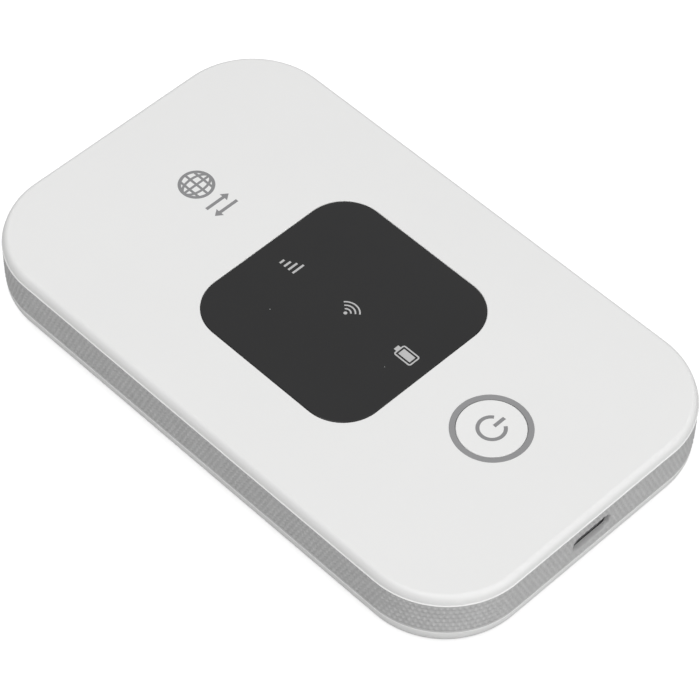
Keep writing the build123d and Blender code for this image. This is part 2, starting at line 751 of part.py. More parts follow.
with BuildPart() as main_antenna:
    foil_foot = carrier_foot - antenna_foil
    arm_width = 3 * antenna_spring_length
    for y in (-antenna_spring_spread, antenna_spring_spread):
        block((carrier_length, arm_width, antenna_foil), (carrier_x, y), foil_foot)
    meander_x = antenna_start + arm_width / 2
    block((arm_width, antenna_width, antenna_foil), (meander_x, 0), foil_foot)
finish(main_antenna.part, "main_antenna")

with BuildPart() as wifi_antenna:
    wifi_foil_size = (wifi_antenna_width, wifi_antenna_length, antenna_foil)
    block(wifi_foil_size, (wifi_antenna_x, wifi_antenna_y), ceiling - antenna_foil)
finish(wifi_antenna.part, "wifi_antenna")

with BuildPart() as antenna_springs:
    for y in (-antenna_spring_spread, antenna_spring_spread):
        spring_size = (antenna_spring_length, antenna_spring_width, antenna_spring_height)
        block(spring_size, (antenna_end - antenna_spring_length, y), board_top)
    wifi_spring_size = (antenna_spring_length, antenna_spring_width, ceiling - antenna_foil - board_top)
    block(wifi_spring_size, (wifi_antenna_x, wifi_antenna_y), board_top)
finish(antenna_springs.part, "antenna_springs")
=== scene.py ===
import json
import math
import bpy
import bmesh
from mathutils import Matrix, Vector


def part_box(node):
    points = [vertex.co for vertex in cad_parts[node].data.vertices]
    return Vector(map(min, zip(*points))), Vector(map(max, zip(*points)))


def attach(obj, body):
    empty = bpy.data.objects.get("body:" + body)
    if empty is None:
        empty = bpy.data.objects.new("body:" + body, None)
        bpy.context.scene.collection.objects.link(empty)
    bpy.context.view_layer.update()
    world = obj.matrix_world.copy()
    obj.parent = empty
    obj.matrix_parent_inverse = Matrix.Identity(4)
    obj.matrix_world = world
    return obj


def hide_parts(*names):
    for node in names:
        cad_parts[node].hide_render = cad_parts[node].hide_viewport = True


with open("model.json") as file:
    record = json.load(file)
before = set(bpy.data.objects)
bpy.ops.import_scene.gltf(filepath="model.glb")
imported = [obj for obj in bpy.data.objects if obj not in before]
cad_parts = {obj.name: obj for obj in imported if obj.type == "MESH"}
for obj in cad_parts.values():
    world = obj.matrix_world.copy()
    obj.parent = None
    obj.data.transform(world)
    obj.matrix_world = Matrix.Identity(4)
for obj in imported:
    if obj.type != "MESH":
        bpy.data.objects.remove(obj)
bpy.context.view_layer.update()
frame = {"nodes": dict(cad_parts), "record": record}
nodes = frame["nodes"]
mm = 0.001
smoothAngle = {"shaped": 32, "frame": 30}  # degrees, under which an edge is shaded smooth


def span(node):
    # low and high corners of a frame piece, in millimetres
    low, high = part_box(node)
    return low / mm, high / mm


bandLow, bandHigh = span("side_band")
caseTop = span("top_shell")[1].z
case = {  # millimetres, as all the shapes below
    "halfLength": bandHigh.x,
    "halfWidth": bandHigh.y,
    "corner": 13.4,
    "cornerSteps": 40,
    "face": caseTop - 0.015,  # prints lie on it, just under the top of the case
    "ceiling": caseTop - 1.2,  # inside face of the top shell
    "bandTop": bandHigh.z,
    "bandBottom": bandLow.z,
}


def roundedRectangle(halfX, halfY, radius, steps):
    # flat outline about the origin, counter-clockwise
    points = []
    for quarter in range(4):
        centreX = (halfX - radius) * (1 if quarter in (0, 3) else -1)
        centreY = (halfY - radius) * (1 if quarter in (0, 1) else -1)
        for step in range(steps + 1):
            turn = math.pi / 2 * (quarter + step / steps)
            points.append((centreX + radius * math.cos(turn), centreY + radius * math.sin(turn)))
    return points


def caseLoop(inset, height):
    # the case outline, set in by an inset, at a height
    flat = roundedRectangle(
        case["halfLength"] - inset, case["halfWidth"] - inset, case["corner"] - inset, case["cornerSteps"]
    )
    return [Vector((x, y, height)) for x, y in flat]


def circleLoop(radius, height, centre, steps=128):
    turns = [2 * math.pi * step / steps for step in range(steps)]
    return [
        Vector((centre[0] + radius * math.cos(t), centre[1] + radius * math.sin(t), height)) for t in turns
    ]


def quarterTurns(steps):
    # angles from 0 to a right angle, for rounded edges
    return [math.pi / 2 * step / steps for step in range(steps + 1)]


def newPiece(name, work, body, material, angle=smoothAngle["shaped"]):
    # takes the finished bmesh, in millimetres, and makes it a piece that rides on its body
    bmesh.ops.recalc_face_normals(work, faces=work.faces)
    bmesh.ops.scale(work, vec=(mm, mm, mm), verts=work.verts)
    mesh = bpy.data.meshes.new(name)
    work.to_mesh(mesh)
    work.free()
    piece = bpy.data.objects.new(name, mesh)
    bpy.context.scene.collection.objects.link(piece)
    dress(piece, material, angle)
    if body:
        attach(piece, body)
    return piece


def dress(piece, material, angle):
    # gives a piece its finish and even shading
    piece.data.materials.clear()
    piece.data.materials.append(material)
    for face in piece.data.polygons:
        face.use_smooth = True
    piece.data.set_sharp_from_angle(angle=math.radians(angle))
    normals = piece.modifiers.new("even shading", "WEIGHTED_NORMAL")
    normals.keep_sharp = True
    normals.weight = 100


def loft(work, loops, closed=False):
    # skin over a row of loops; a closed one joins its last loop to its first
    rings = [[work.verts.new(point) for point in loop] for loop in loops]
    pairs = list(zip(rings, rings[1:]))
    if closed:
        pairs.append((rings[-1], rings[0]))
    for near, far in pairs:
        count = len(near)
        for i in range(count):
            after = (i + 1) % count
            work.faces.new((near[i], near[after], far[after], far[i]))
    if not closed:
        work.faces.new(rings[0])
        work.faces.new(list(reversed(rings[-1])))


def prism(work, flat, low, high, bevel=0.0):
    # upright prism over a flat outline, with a small chamfer round its top
    loops = [[Vector((x, y, low)) for x, y in flat]]
    if bevel:
        loops.append([Vector((x, y, high - bevel)) for x, y in flat])
        loops.append([Vector((x, y, high)) for x, y in shrink(flat, bevel)])
    else:
        loops.append([Vector((x, y, high)) for x, y in flat])
    loft(work, loops)


def shrink(flat, amount):
    # moves each corner of an outline inwards
    leastLean = 0.3  # keeps the move short at sharp corners
    count, moved = len(flat), []
    nextOne = flat[1:] + flat[:1]
    area = sum(here[0] * after[1] - after[0] * here[1] for here, after in zip(flat, nextOne))
    side = 1 if area > 0 else -1
    for i in range(count):
        before, here, after = Vector(flat[i - 1]), Vector(flat[i]), Vector(nextOne[i])
        into, out = (here - before).normalized(), (after - here).normalized()
        normal = Vector((-(into + out).y, (into + out).x)).normalized() * side
        lean = max(leastLean, abs(normal.dot(Vector((-into.y, into.x)))))
        moved.append(tuple(here + normal * amount / lean))
    return moved


def ribbon(points, wide):
    # outline of a flat line of even width along points
    left, right = [], []
    for i, point in enumerate(points):
        here = Vector(point)
        before = Vector(points[i - 1]) if i else here
        after = Vector(points[i + 1]) if i < len(points) - 1 else here
        along = (after - before).normalized()
        across = Vector((-along.y, along.x)) * wide / 2
        left.append(tuple(here + across))
        right.append(tuple(here - across))
    return left + list(reversed(right))


def arc(centre, radius, start, end, steps=24):
    turns = [math.radians(start + (end - start) * step / steps) for step in range(steps + 1)]
    return [(centre[0] + radius * math.cos(t), centre[1] + radius * math.sin(t)) for t in turns]


def ringPlate(work, outer, inner, low, high):
    # flat ring between two outlines
    loops = [(outer, low), (outer, high), (inner, high), (inner, low)]
    loft(work, [[Vector((x, y, z)) for x, y in flat] for flat, z in loops], closed=True)


def toolFrom(build):
    # a loose object for boolean work, removed once it is used
    work = bmesh.new()
    build(work)
    bmesh.ops.recalc_face_normals(work, faces=work.faces)
    bmesh.ops.scale(work, vec=(mm, mm, mm), verts=work.verts)
    mesh = bpy.data.meshes.new("tool")
    work.to_mesh(mesh)
    work.free()
    tool = bpy.data.objects.new("tool", mesh)
    bpy.context.scene.collection.objects.link(tool)
    return tool


def carve(piece, tools, operation, solver):
    # applies booleans to a piece that has no other modifiers yet
    for tool in tools:
        step = piece.modifiers.new("carve", "BOOLEAN")
        step.operation, step.solver, step.object = operation, solver, tool
        bpy.context.view_layer.update()
        graph = bpy.context.evaluated_depsgraph_get()
        carved = bpy.data.meshes.new_from_object(piece.evaluated_get(graph))
        piece.modifiers.remove(step)
        piece.data = carved
        bpy.data.objects.remove(tool)


def carvedPiece(name, build, tools, body, material, angle=smoothAngle["shaped"],
                operation="DIFFERENCE", solver="EXACT"):
    # a piece that is built, carved with its tools, dressed and put on its body
    piece = toolFrom(build)
    piece.name = name
    carve(piece, tools, operation, solver)
    piece.data.name = name
    dress(piece, material, angle)
    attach(piece, body)
    return piece


def newGroup(name, inputs, outputs):
    # a shared effect, as a node group with named inputs and outputs
    group = bpy.data.node_groups.new(name, "ShaderNodeTree")
    for label, kind, value in inputs:
        socket = group.interface.new_socket(name=label, in_out="INPUT", socket_type=kind)
        if value is not None:
            socket.default_value = value
    for label, kind in outputs:
        group.interface.new_socket(name=label, in_out="OUTPUT", socket_type=kind)
    return group, group.nodes.new("NodeGroupInput"), group.nodes.new("NodeGroupOutput")


def addNode(tree, kind, values=None, **settings):
    node = tree.nodes.new(kind)
    for key, value in settings.items():
        setattr(node, key, value)
    for socket, value in (values or {}).items():
        node.inputs[socket].default_value = value
    return node


def scaledVector(tree, source, perMetre):
    # place on the surface, counted in grains, patches or cells
    scaled = addNode(tree, "ShaderNodeVectorMath", operation="SCALE")
    tree.links.new(source, scaled.inputs[0])
    tree.links.new(perMetre, scaled.inputs["Scale"])
    return scaled.outputs[0]


def makeMouldGrain():
    # fine spark-eroded grain of a plastic mould, as a height
    group, start, end = newGroup("mouldGrain", [
        ("Vector", "NodeSocketVector", None), ("Grains per metre", "NodeSocketFloat", 5000.0),
        ("Pits", "NodeSocketFloat", 0.3),
    ], [("Height", "NodeSocketFloat")])
    scaled = scaledVector(group, start.outputs["Vector"], start.outputs["Grains per metre"])
    noise = addNode(group, "ShaderNodeTexNoise", {"Scale": 1.0, "Detail": 3.0, "Roughness": 0.6})
    pits = addNode(group, "ShaderNodeTexVoronoi", {"Scale": 0.8})
    blend = addNode(group, "ShaderNodeMix", data_type="FLOAT")
    group.links.new(scaled, noise.inputs["Vector"])
    group.links.new(scaled, pits.inputs["Vector"])
    group.links.new(start.outputs["Pits"], blend.inputs["Factor"])
    group.links.new(noise.outputs["Fac"], blend.inputs["A"])
    group.links.new(pits.outputs["Distance"], blend.inputs["B"])
    group.links.new(blend.outputs["Result"], end.inputs["Height"])
    return group


def makeHandling():
    # soft patches where fingers have polished or dulled a surface, as a roughness
    group, start, end = newGroup("handling", [
        ("Vector", "NodeSocketVector", None), ("Patches per metre", "NodeSocketFloat", 60.0),
        ("Polished", "NodeSocketFloat", 0.35), ("Dull", "NodeSocketFloat", 0.5),
    ], [("Roughness", "NodeSocketFloat")])
    scaled = scaledVector(group, start.outputs["Vector"], start.outputs["Patches per metre"])
    noise = addNode(group, "ShaderNodeTexNoise", {"Scale": 1.0, "Detail": 4.0, "Roughness": 0.55})
    spread = addNode(group, "ShaderNodeMapRange", {"From Min": 0.3, "From Max": 0.7})
    group.links.new(scaled, noise.inputs["Vector"])
    group.links.new(noise.outputs["Fac"], spread.inputs["Value"])
    group.links.new(start.outputs["Polished"], spread.inputs["To Min"])
    group.links.new(start.outputs["Dull"], spread.inputs["To Max"])
    group.links.new(spread.outputs["Result"], end.inputs["Roughness"])
    return group


def makeTintDrift():
    # slow drift between two close tints, with fine flecks of the second
    group, start, end = newGroup("tintDrift", [
        ("Vector", "NodeSocketVector", None), ("Drifts per metre", "NodeSocketFloat", 25.0),
        ("Main", "NodeSocketColor", (0.8, 0.8, 0.8, 1)), ("Second", "NodeSocketColor", (0.7, 0.7, 0.7, 1)),
    ], [("Color", "NodeSocketColor")])
    scaled = scaledVector(group, start.outputs["Vector"], start.outputs["Drifts per metre"])
    noise = addNode(group, "ShaderNodeTexNoise", {"Scale": 1.0, "Detail": 6.0, "Roughness": 0.7})
    spread = addNode(group, "ShaderNodeMapRange", {"From Min": 0.35, "From Max": 0.75})
    blend = addNode(group, "ShaderNodeMix", data_type="RGBA")
    group.links.new(scaled, noise.inputs["Vector"])
    group.links.new(noise.outputs["Fac"], spread.inputs["Value"])
    group.links.new(spread.outputs["Result"], blend.inputs["Factor"])
    group.links.new(start.outputs["Main"], blend.inputs["A"])
    group.links.new(start.outputs["Second"], blend.inputs["B"])
    group.links.new(blend.outputs["Result"], end.inputs["Color"])
    return group


def makeDust():
    # a few pale specks, as a mask
    group, start, end = newGroup("dust", [
        ("Vector", "NodeSocketVector", None), ("Cells per metre", "NodeSocketFloat", 700.0),
        ("Speck size", "NodeSocketFloat", 0.05), ("Share", "NodeSocketFloat", 0.08),
    ], [("Mask", "NodeSocketFloat")])
    scaled = scaledVector(group, start.outputs["Vector"], start.outputs["Cells per metre"])
    cells = addNode(group, "ShaderNodeTexVoronoi", {"Scale": 1.0, "Randomness": 1.0})
    near = addNode(group, "ShaderNodeMath", operation="LESS_THAN")
    chosen = addNode(group, "ShaderNodeSeparateColor")
    few = addNode(group, "ShaderNodeMath", operation="LESS_THAN")
    both = addNode(group, "ShaderNodeMath", operation="MULTIPLY")
    group.links.new(scaled, cells.inputs["Vector"])
    group.links.new(cells.outputs["Distance"], near.inputs[0])
    group.links.new(start.outputs["Speck size"], near.inputs[1])
    group.links.new(cells.outputs["Color"], chosen.inputs["Color"])
    group.links.new(chosen.outputs["Red"], few.inputs[0])
    group.links.new(start.outputs["Share"], few.inputs[1])
    group.links.new(near.outputs[0], both.inputs[0])
    group.links.new(few.outputs[0], both.inputs[1])
    group.links.new(both.outputs[0], end.inputs["Mask"])
    return group


def makeBrushMarks():
    # straight drawn marks of rolled or brushed metal, as a height and a roughness
    group, start, end = newGroup("brushMarks", [
        ("Vector", "NodeSocketVector", None), ("Along", "NodeSocketVector", (400.0, 16000.0, 16000.0)),
        ("Smooth", "NodeSocketFloat", 0.25), ("Rough", "NodeSocketFloat", 0.45),
    ], [("Height", "NodeSocketFloat"), ("Roughness", "NodeSocketFloat")])
    stretch = addNode(group, "ShaderNodeVectorMath", operation="MULTIPLY")
    noise = addNode(group, "ShaderNodeTexNoise", {"Scale": 1.0, "Detail": 3.0})
    spread = addNode(group, "ShaderNodeMapRange", {"From Min": 0.3, "From Max": 0.7})
    group.links.new(start.outputs["Vector"], stretch.inputs[0])
    group.links.new(start.outputs["Along"], stretch.inputs[1])
    group.links.new(stretch.outputs[0], noise.inputs["Vector"])
    group.links.new(noise.outputs["Fac"], spread.inputs["Value"])
    group.links.new(start.outputs["Smooth"], spread.inputs["To Min"])
    group.links.new(start.outputs["Rough"], spread.inputs["To Max"])
    group.links.new(noise.outputs["Fac"], end.inputs["Height"])
    group.links.new(spread.outputs["Result"], end.inputs["Roughness"])
    return group


def makeTraces():
    # copper tracks under solder mask, as a mask
    group, start, end = newGroup("boardTraces", [
        ("Vector", "NodeSocketVector", None), ("Cells per metre", "NodeSocketFloat", 450.0),
    ], [("Mask", "NodeSocketFloat")])
    scaled = scaledVector(group, start.outputs["Vector"], start.outputs["Cells per metre"])
    bricks = addNode(group, "ShaderNodeTexBrick", {"Scale": 1.0, "Mortar Size": 0.06, "Mortar Smooth": 0.1,
                                                   "Brick Width": 1.7, "Row Height": 0.45})
    group.links.new(scaled, bricks.inputs["Vector"])
    group.links.new(bricks.outputs["Fac"], end.inputs["Mask"])
    return group


groups = {
    "grain": makeMouldGrain(), "handling": makeHandling(), "drift": makeTintDrift(),
    "dust": makeDust(), "brush": makeBrushMarks(), "traces": makeTraces(),
}
print("node groups made")


def startMaterial(name, roughness=0.5, metallic=0.0, **fixed):
    # values that are the same all over stand on the shader itself
    material = bpy.data.materials.new(name)
    material.use_nodes = True
    tree = material.node_tree
    shader = tree.nodes["Principled BSDF"]
    shader.inputs["Roughness"].default_value = roughness
    shader.inputs["Metallic"].default_value = metallic
    for socket, value in fixed.items():
        shader.inputs[socket.replace("_", " ")].default_value = value
    place = tree.nodes.new("ShaderNodeTexCoord").outputs["Object"]
    return material, tree, shader, place


def useGroup(tree, key, place, values):
    node = tree.nodes.new("ShaderNodeGroup")
    node.node_tree = groups[key]
    tree.links.new(place, node.inputs["Vector"])
    for socket, value in values.items():
        node.inputs[socket].default_value = value
    return node


def bumpFrom(tree, shader, height, depth):
    # depth is in metres
    bump = addNode(tree, "ShaderNodeBump", {"Strength": 1.0, "Distance": depth})
    tree.links.new(height, bump.inputs["Height"])
    tree.links.new(bump.outputs["Normal"], shader.inputs["Normal"])


def useTints(tree, place, main, second, drift):
    values = {"Drifts per metre": drift, "Main": (*main, 1), "Second": (*second, 1)}
    return useGroup(tree, "drift", place, values).outputs["Color"]


dustGrey = (0.5, 0.5, 0.5, 1)


def plastic(name, main, second, polished, dull, grains=6000, depth=0.000004, pits=0.3, drift=25, dusty=0.0,
            **fixed):
    material, tree, shader, place = startMaterial(name, **fixed)
    colour = useTints(tree, place, main, second, drift)
    if dusty:
        specks = useGroup(tree, "dust", place, {"Share": dusty})
        blend = addNode(tree, "ShaderNodeMix", data_type="RGBA")
        blend.inputs["B"].default_value = dustGrey
        tree.links.new(specks.outputs["Mask"], blend.inputs["Factor"])
        tree.links.new(colour, blend.inputs["A"])
        colour = blend.outputs["Result"]
    tree.links.new(colour, shader.inputs["Base Color"])
    patches = useGroup(tree, "handling", place, {"Polished": polished, "Dull": dull})
    tree.links.new(patches.outputs["Roughness"], shader.inputs["Roughness"])
    grain = useGroup(tree, "grain", place, {"Grains per metre": grains, "Pits": pits})
    bumpFrom(tree, shader, grain.outputs["Height"], depth)
    return material


drawnMetal = {"along": (400.0, 16000.0, 16000.0), "depth": 0.000003, "drift": 90}


def metal(name, main, second, smooth, rough):
    material, tree, shader, place = startMaterial(name, metallic=1.0)
    tree.links.new(useTints(tree, place, main, second, drawnMetal["drift"]), shader.inputs["Base Color"])
    brush = useGroup(tree, "brush", place, {"Along": drawnMetal["along"], "Smooth": smooth, "Rough": rough})
    tree.links.new(brush.outputs["Roughness"], shader.inputs["Roughness"])
    bumpFrom(tree, shader, brush.outputs["Height"], drawnMetal["depth"])
    return material


board = {"roughness": 0.35, "varnish": 0.3, "tracks": 420, "vias": 380, "viaSize": 0.09, "viaShare": 0.45,
         "trackDepth": 0.00003}


def circuitBoard(name, mask, track, bare):
    material, tree, shader, place = startMaterial(name, board["roughness"], Coat_Weight=board["varnish"])
    traces = useGroup(tree, "traces", place, {"Cells per metre": board["tracks"]})
    blend = addNode(tree, "ShaderNodeMix", data_type="RGBA")
    blend.inputs["A"].default_value = (*mask, 1)
    blend.inputs["B"].default_value = (*track, 1)
    tree.links.new(traces.outputs["Mask"], blend.inputs["Factor"])
    vias = useGroup(tree, "dust", place, {"Cells per metre": board["vias"], "Speck size": board["viaSize"],
                                          "Share": board["viaShare"]})
    pads = addNode(tree, "ShaderNodeMix", data_type="RGBA")
    pads.inputs["B"].default_value = (*bare, 1)
    tree.links.new(vias.outputs["Mask"], pads.inputs["Factor"])
    tree.links.new(blend.outputs["Result"], pads.inputs["A"])
    tree.links.new(pads.outputs["Result"], shader.inputs["Base Color"])
    bumpFrom(tree, shader, traces.outputs["Mask"], board["trackDepth"])
    return material


# colours are main and second tint, then the most polished and the dullest roughness
finish = {
    "white_shell": plastic("whiteShell", (0.80, 0.80, 0.795), (0.785, 0.785, 0.78), 0.38, 0.46, grains=9000,
                           depth=0.0000015, drift=30),
    "white_key": plastic("whiteKey", (0.81, 0.81, 0.805), (0.79, 0.79, 0.785), 0.36, 0.44, grains=9000,
                         depth=0.0000015),
    "grey_band": plastic("greyBand", (0.505, 0.505, 0.505), (0.44, 0.44, 0.44), 0.40, 0.55, grains=7000,
                         depth=0.000003, drift=600),
    "grey_ring": plastic("greyRing", (0.275, 0.275, 0.28), (0.255, 0.255, 0.26), 0.35, 0.45, grains=9000,
                         depth=0.0000015),
    "print": plastic("greyPrint", (0.25, 0.25, 0.255), (0.23, 0.23, 0.235), 0.5, 0.6, grains=9000,
                     depth=0.0000015),
    "window_black": plastic("windowBlack", (0.005, 0.005, 0.0055), (0.007, 0.007, 0.0075), 0.10, 0.16,
                            grains=3000, depth=0.0000003, drift=40, dusty=0.01, IOR=1.5),
    "chassis_grey": plastic("chassisGrey", (0.09, 0.093, 0.096), (0.075, 0.078, 0.08), 0.45, 0.6, grains=3500,
                            depth=0.000012, pits=0.6),
    "black_plastic": plastic("blackPlastic", (0.012, 0.012, 0.013), (0.02, 0.02, 0.021), 0.4, 0.55,
                             grains=9000, depth=0.000003, drift=300),
    "carrier_ivory": plastic("carrierIvory", (0.55, 0.51, 0.42), (0.50, 0.46, 0.37), 0.4, 0.55),
    "battery_wrap": plastic("batteryWrap", (0.022, 0.024, 0.027), (0.03, 0.032, 0.036), 0.3, 0.42,
                            grains=2500, depth=0.000006, drift=60),
    "tape_black": plastic("tapeBlack", (0.02, 0.02, 0.02), (0.035, 0.035, 0.035), 0.75, 0.9, grains=2500,
                          depth=0.00004, pits=0.8),
    "diffuser_milk": plastic("iconLight", (0.50, 0.50, 0.50), (0.46, 0.46, 0.46), 0.4, 0.5, drift=120),
    "led_white": plastic("lampLens", (0.75, 0.70, 0.42), (0.70, 0.62, 0.30), 0.15, 0.3, drift=500),
    "ferrite": plastic("ferrite", (0.04, 0.04, 0.043), (0.06, 0.06, 0.063), 0.5, 0.7, grains=4000,
                       depth=0.00001, drift=700),
    "passive_tan": plastic("ceramic", (0.42, 0.30, 0.19), (0.34, 0.24, 0.15), 0.35, 0.5, drift=900),
    "steel": metal("steel", (0.56, 0.56, 0.57), (0.48, 0.48, 0.49), 0.28, 0.42),
    "gold": metal("gold", (0.83, 0.62, 0.25), (0.74, 0.53, 0.2), 0.2, 0.34),
    "copper": metal("copper", (0.72, 0.38, 0.24), (0.64, 0.32, 0.2), 0.25, 0.4),
    "board_green": circuitBoard("boardGreen", (0.012, 0.075, 0.035), (0.02, 0.13, 0.06), (0.55, 0.42, 0.18)),
}
for entry in frame["record"]["subparts"]:
    dress(nodes[entry["node"]], finish[entry["material_slot"]], smoothAngle["frame"])
print("materials made and given to", len(nodes), "frame pieces")


windowLow, windowHigh = span("display_window")
bezelLow, bezelHigh = span("key_bezel")

# top shell: flat face, rounded edge, window seat and key seat
topShell = {
    "edgeInset": 0.95, "edgeDrop": 1.5, "edgeSteps": 16, "lean": 0.15, "seamChamfer": 0.1,
    "tongueInset": 2.35, "cavityInset": 3.15, "tongueFoot": case["bandTop"] - 0.9, "ceiling": case["ceiling"],
    "pocketGap": 0.06, "pocketFloor": windowLow.z - 0.1, "ledge": 1.4, "windowFlare": 0.07,
    "cutLow": 9.5, "cutOverlap": 0.1, "cutAbove": 1, "keyHoleGap": 0.35, "ringFlare": 0.03,
}
window = {
    "half": windowHigh.x, "corner": 6.5, "steps": 24, "bottom": windowLow.z, "edgeRound": 0.14,
    "edgeSteps": 5, "top": case["face"],
}
bezel = {
    "centre": ((bezelLow.x + bezelHigh.x) / 2, (bezelLow.y + bezelHigh.y) / 2),
    "outer": (bezelHigh.x - bezelLow.x) / 2, "wide": 0.85, "bottom": bezelLow.z, "top": caseTop - 0.012,
    "edge": 0.03, "gap": 0.01, "steps": 160,
}
key = {
    "radius": 4.96, "top": caseTop - 0.008, "edgeRound": 0.14, "edgeSteps": 6, "flangeRadius": 5.6,
    "flangeTop": case["ceiling"] - 0.1, "flangeBottom": case["ceiling"] - 0.55, "nubRadius": 1.1,
    "foot": span("power_key")[0].z,
}


def buildTopShell(work):
    t = topShell
    top, foot = case["face"], case["bandTop"]
    profile = [(t["lean"] + t["edgeInset"] * (1 - math.sin(a)), top - t["edgeDrop"] * (1 - math.cos(a)))
               for a in quarterTurns(t["edgeSteps"])]
    profile += [(0.0, foot + t["seamChamfer"]), (t["seamChamfer"], foot), (t["tongueInset"], foot)]
    profile += [(t["tongueInset"], t["tongueFoot"]), (t["cavityInset"], t["tongueFoot"])]
    profile += [(t["cavityInset"], t["ceiling"])]
    loft(work, [caseLoop(inset, height) for inset, height in profile])


def flaredPocket(flatAt, low, mouth, flare):
    # cutter whose mouth opens a little at the face
    def build(work):
        above = mouth + topShell["cutAbove"]
        loops = [(0.0, low), (0.0, mouth - flare), (flare, mouth), (flare, above)]
        loft(work, [[Vector((x, y, height)) for x, y in flatAt(grow)] for grow, height in loops])
    return toolFrom(build)


def windowOutline(grow):
    return roundedRectangle(window["half"] + grow, window["half"] + grow, window["corner"] + grow,
                            window["steps"])


def circleOutline(radius):
    def outlineAt(grow):
        return [(v.x, v.y) for v in circleLoop(radius + grow, 0, bezel["centre"])]
    return outlineAt


def windowHole(grow):
    return windowOutline(grow - topShell["ledge"])


keyHole = circleOutline(bezel["outer"] - bezel["wide"] + topShell["keyHoleGap"])
shellTools = [
    flaredPocket(lambda grow: windowOutline(topShell["pocketGap"] + grow), topShell["pocketFloor"],
                 case["face"], topShell["windowFlare"]),
    flaredPocket(windowHole, topShell["cutLow"], topShell["pocketFloor"] + topShell["cutOverlap"], 0.0),
    flaredPocket(circleOutline(bezel["outer"]), bezel["bottom"], case["face"], topShell["ringFlare"]),
    flaredPocket(keyHole, topShell["cutLow"], bezel["bottom"] + topShell["cutOverlap"], 0.0),
]
shell = carvedPiece("topShell", buildTopShell, shellTools, "housing", finish["white_shell"])
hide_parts("top_shell")
print("top shell made:", len(shell.data.polygons), "faces")


def buildWindow(work):
    w = window
    rim = [(0.0, w["bottom"])]
    for turn in quarterTurns(w["edgeSteps"]):
        rim.append((-w["edgeRound"] * (1 - math.cos(turn)), w["top"] - w["edgeRound"] * (1 - math.sin(turn))))
    loft(work, [[Vector((x, y, height)) for x, y in windowOutline(grow)] for grow, height in rim])


work = bmesh.new()
buildWindow(work)
glass = newPiece("displayWindow", work, "housing", finish["window_black"])
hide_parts("display_window")


# marks in the window: signal bars, wireless fan and battery
icons = {
    "low": case["face"] - 0.03, "high": case["face"] + 0.008, "line": 0.23,
    "signalX": -12.5, "signalY": -0.67, "barPitch": 0.87, "barWide": 0.34,
    "barHeights": (0.85, 1.3, 1.75, 2.2),
    "fanCentre": (0.73, -0.4), "fanRadii": (0.78, 1.42, 2.06), "fanSpan": 52, "dot": 0.27,
    "cellLow": (10.55, -0.73), "cellHigh": (13.8, 1.47), "cellCorner": 0.4, "leastCorner": 0.08,
    "cellSteps": 8, "dotSteps": 32, "fillGap": 0.28, "nub": (0.5, 0.9),
}


def addIcons(work):
    k = icons
    low, high = k["low"], k["high"]
    for i, tall in enumerate(k["barHeights"]):
        x = k["signalX"] + i * k["barPitch"]
        flat = [(x, k["signalY"]), (x + k["barWide"], k["signalY"]), (x + k["barWide"], k["signalY"] + tall),
                (x, k["signalY"] + tall)]
        prism(work, flat, low, high)
    for radius in k["fanRadii"]:
        fan = ribbon(arc(k["fanCentre"], radius, 90 - k["fanSpan"], 90 + k["fanSpan"]), k["line"])
        prism(work, fan, low, high)
    loft(work, [circleLoop(k["dot"], height, k["fanCentre"], k["dotSteps"]) for height in (low, high)])
    midX = (k["cellLow"][0] + k["cellHigh"][0]) / 2
    midY = (k["cellLow"][1] + k["cellHigh"][1]) / 2
    halfX = (k["cellHigh"][0] - k["cellLow"][0]) / 2
    halfY = (k["cellHigh"][1] - k["cellLow"][1]) / 2

    def cell(inset):
        radius = max(k["leastCorner"], k["cellCorner"] - inset)
        flat = roundedRectangle(halfX - inset, halfY - inset, radius, k["cellSteps"])
        return [(midX + x, midY + y) for x, y in flat]

    ringPlate(work, cell(0), cell(k["line"]), low, high)
    prism(work, cell(k["line"] + k["fillGap"]), low, high)
    nubX, half = k["cellLow"][0], k["nub"][1] / 2
    prism(work, [(nubX - k["nub"][0], midY - half), (nubX, midY - half), (nubX, midY + half),
                 (nubX - k["nub"][0], midY + half)], low, high)


work = bmesh.new()
addIcons(work)
newPiece("windowIcons", work, "housing", finish["diffuser_milk"])
print("window and icons made")


# plain sign on the face: a globe and a pair of data arrows
faceMark = {
    "low": case["face"] - 0.03, "high": case["face"] + 0.006, "centre": (-31.6, 0.95), "radius": 2.75,
    "line": 0.5, "fine": 0.4, "meridian": 0.48, "parallel": 0.5, "rimSteps": 95, "curveSteps": 32,
    "arrowX": (-27.1, -25.3), "arrowHalf": 2.2, "head": 0.78, "neck": 1.05, "shaft": 0.52,
}


def addGlobe(work):
    m = faceMark
    rim, inner = [arc(m["centre"], radius, 0, 360, m["rimSteps"])[:-1]
                  for radius in (m["radius"], m["radius"] - m["line"])]
    ringPlate(work, rim, inner, m["low"], m["high"])


def globeLines():
    m = faceMark
    cx, cy = m["centre"]
    reach = m["radius"] - m["line"] / 2
    lines = [[(cx - reach, cy), (cx + reach, cy)], [(cx, cy - reach), (cx, cy + reach)]]
    for side in (-1, 1):
        level = side * m["parallel"] * m["radius"]
        half = math.sqrt(reach ** 2 - level ** 2)
        lines.append([(cx - half, cy + level), (cx + half, cy + level)])
        turns = [math.radians(-90 + 180 * step / m["curveSteps"]) for step in range(m["curveSteps"] + 1)]
        lines.append([(cx + side * m["meridian"] * m["radius"] * math.cos(t), cy + reach * math.sin(t))
                      for t in turns])
    return lines


def lineTool(points):
    return toolFrom(lambda work: prism(work, ribbon(points, faceMark["fine"]), faceMark["low"],
                                       faceMark["high"]))


carvedPiece("faceGlobe", addGlobe, [lineTool(points) for points in globeLines()], "housing",
            finish["print"], operation="UNION")

